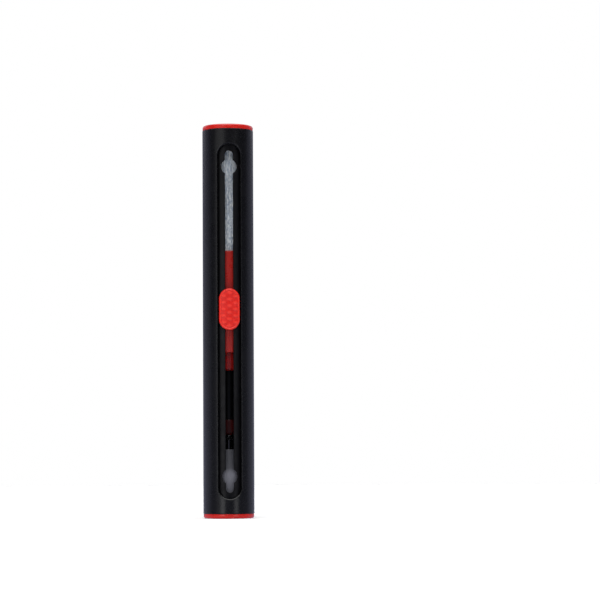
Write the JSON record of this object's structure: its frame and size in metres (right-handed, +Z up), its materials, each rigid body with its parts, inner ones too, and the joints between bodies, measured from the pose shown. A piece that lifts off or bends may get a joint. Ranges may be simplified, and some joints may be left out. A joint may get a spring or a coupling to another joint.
{
  "type": "lens cleaning pen",
  "caption": "Slim retractable lens pen: a slotted barrel with red end rings, a thumb button that slides a soft brush out of one end and a cleaning tip out of the other.",
  "frame": {"origin": "centre of the tip end ring's flat face, on which the pen stands, on the barrel's axis", "axes": "+Z up along the barrel to the brush end; -Y towards the thumb button and the slot; +X to the right seen from the button's side"},
  "size_m": [0.0168, 0.0169, 0.1295],
  "materials": {
    "sleeve_black": "aluminium tube under satin black lacquer, fine even sheen, dark grey highlights",
    "track_black": "black moulded ABS, fine matte grain",
    "ring_red": "red moulded ABS, semi-gloss, polished rounded edge",
    "carrier_red": "red moulded ABS, semi-gloss",
    "ferrule_aluminium": "drawn aluminium, fine lengthwise lines",
    "resin": "amber epoxy potting, glossy",
    "brush_hair": "soft blue-grey fibre bundle",
    "spring_steel": "bright rolled spring steel",
    "socket_red": "deep red translucent acetal, glossy",
    "shaft_black": "black acetal rod, semi-gloss",
    "collar_red": "dark red moulded plastic, satin",
    "stem_black": "polished black plastic",
    "head_grey": "matte grey elastomer",
    "foam": "fine-celled dark foam",
    "chamois": "dark napped chamois with carbon powder",
    "button_red": "red moulded ABS with staggered moulded grip scales and a smooth rim"
  },
  "bodies": {
    "barrel": {"outer_sleeve": "sleeve_black", "track_tube": "track_black", "brush_end_ring": "ring_red", "tip_end_ring": "ring_red"},
    "shuttle": {"carrier": "carrier_red", "brush_ferrule": "ferrule_aluminium", "brush_plug": "resin", "brush_hair": "brush_hair", "lock_spring": "spring_steel", "tip_socket": "socket_red", "tip_shaft": "shaft_black", "tip_collar": "collar_red", "tip_stem": "stem_black", "tip_head": "head_grey", "tip_foam": "foam", "tip_pad": "chamois"},
    "button": {"thumb_button": "button_red", "button_clip": "spring_steel"}
  },
  "joints": [
    {"name": "shuttle_slide", "type": "slide", "parent": "barrel", "child": "shuttle", "axis": [0, 0, 1], "range_m": [-0.0546, 0.047], "deforming": ["lock_spring"]},
    {"name": "button_press", "type": "slide", "parent": "shuttle", "child": "button", "axis": [0, 1, 0], "range_m": [0, 0.00055], "stiffness_N_per_m": 2000, "springref_m": -0.0002}
  ]
}
